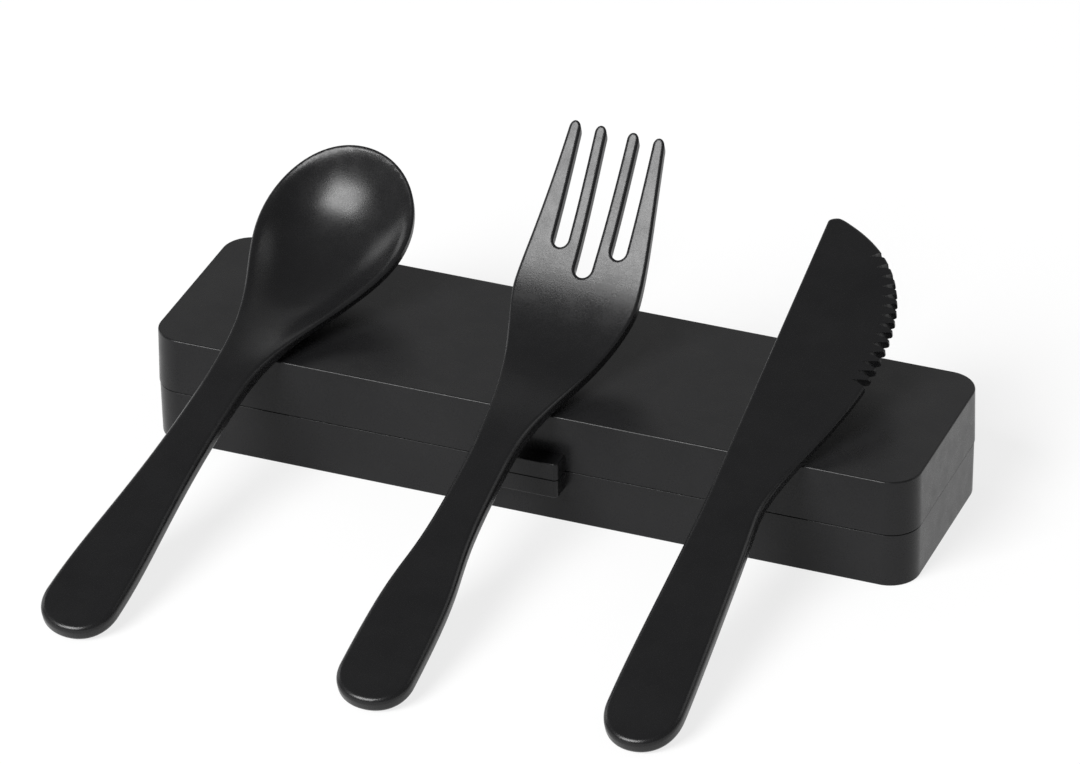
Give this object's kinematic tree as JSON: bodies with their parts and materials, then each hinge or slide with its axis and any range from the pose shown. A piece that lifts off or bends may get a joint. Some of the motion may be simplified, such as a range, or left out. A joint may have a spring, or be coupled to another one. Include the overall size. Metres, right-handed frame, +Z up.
{
  "type": "plastic cutlery pack",
  "caption": "Black plastic travel cutlery set: closed hinged case with a spoon, a fork and a serrated knife leaning on the front edge of its lid.",
  "frame": {"origin": "middle of the underside of the closed case, on the table", "axes": "+X along the length of the case, +Y from the snap tab towards the hinge, +Z up"},
  "size_m": [0.195, 0.1618, 0.0763],
  "materials": {
    "case_base": "satin black, fine texture",
    "case_lid": "satin black, fine texture",
    "spoon": "satin black",
    "fork": "satin black",
    "knife": "satin black"
  },
  "bodies": {
    "base": {"case_base": "case_base"},
    "lid": {"case_lid": "case_lid", "spoon": "spoon", "fork": "fork", "knife": "knife"}
  },
  "joints": [
    {"name": "lid_hinge", "type": "hinge", "parent": "base", "child": "lid", "pos_m": [0, 0.02955, 0.0143], "axis": [-1, 0, 0], "range_deg": [0, 95]}
  ]
}
